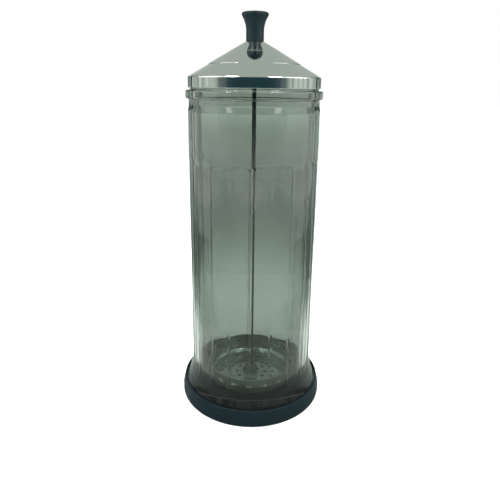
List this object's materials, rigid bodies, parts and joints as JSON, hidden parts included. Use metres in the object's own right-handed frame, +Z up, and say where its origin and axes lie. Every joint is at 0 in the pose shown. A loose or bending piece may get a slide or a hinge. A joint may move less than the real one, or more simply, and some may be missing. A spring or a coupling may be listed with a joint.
{
  "type": "disinfecting jar",
  "caption": "Tall fluted glass jar on a black base; its conical metal lid, knob and central rod lift a perforated basket out of the liquid.",
  "frame": {"origin": "centre of the underside of the base, on the surface that the jar stands on", "axes": "+Z up along the jar's axis; a ridge between two flutes faces -Y, the front"},
  "size_m": [0.11, 0.11, 0.2877],
  "materials": {
    "black_rubber": "moulded, matt",
    "clear_glass": "pressed soda-lime glass, fire-polished",
    "polished_steel": "mirror-polished stainless steel",
    "black_plastic": "moulded, satin",
    "brass": "turned",
    "drawn_steel": "drawn rod, dulled by use",
    "plated_steel": "plated, satin",
    "pressed_steel": "pressed and pierced sheet, satin"
  },
  "bodies": {
    "jar": {"base_shoe": "black_rubber", "glass_jar": "clear_glass"},
    "lid": {"lid": "polished_steel"},
    "carrier": {"knob": "black_plastic", "knob_insert": "brass", "lift_rod": "drawn_steel", "lid_washer": "plated_steel", "lid_nut": "plated_steel", "basket": "pressed_steel", "basket_upper_washer": "plated_steel", "basket_upper_nut": "plated_steel", "basket_lower_washer": "plated_steel", "basket_lower_nut": "plated_steel"}
  },
  "joints": [
    {"name": "lid_lift", "type": "slide", "parent": "jar", "child": "lid", "axis": [0, 0, 1], "range_m": [0, 0.24]},
    {"name": "rod_turn", "type": "hinge", "parent": "lid", "child": "carrier", "pos_m": [0, 0, 0.268], "axis": [0, 0, 1], "continuous": true}
  ]
}
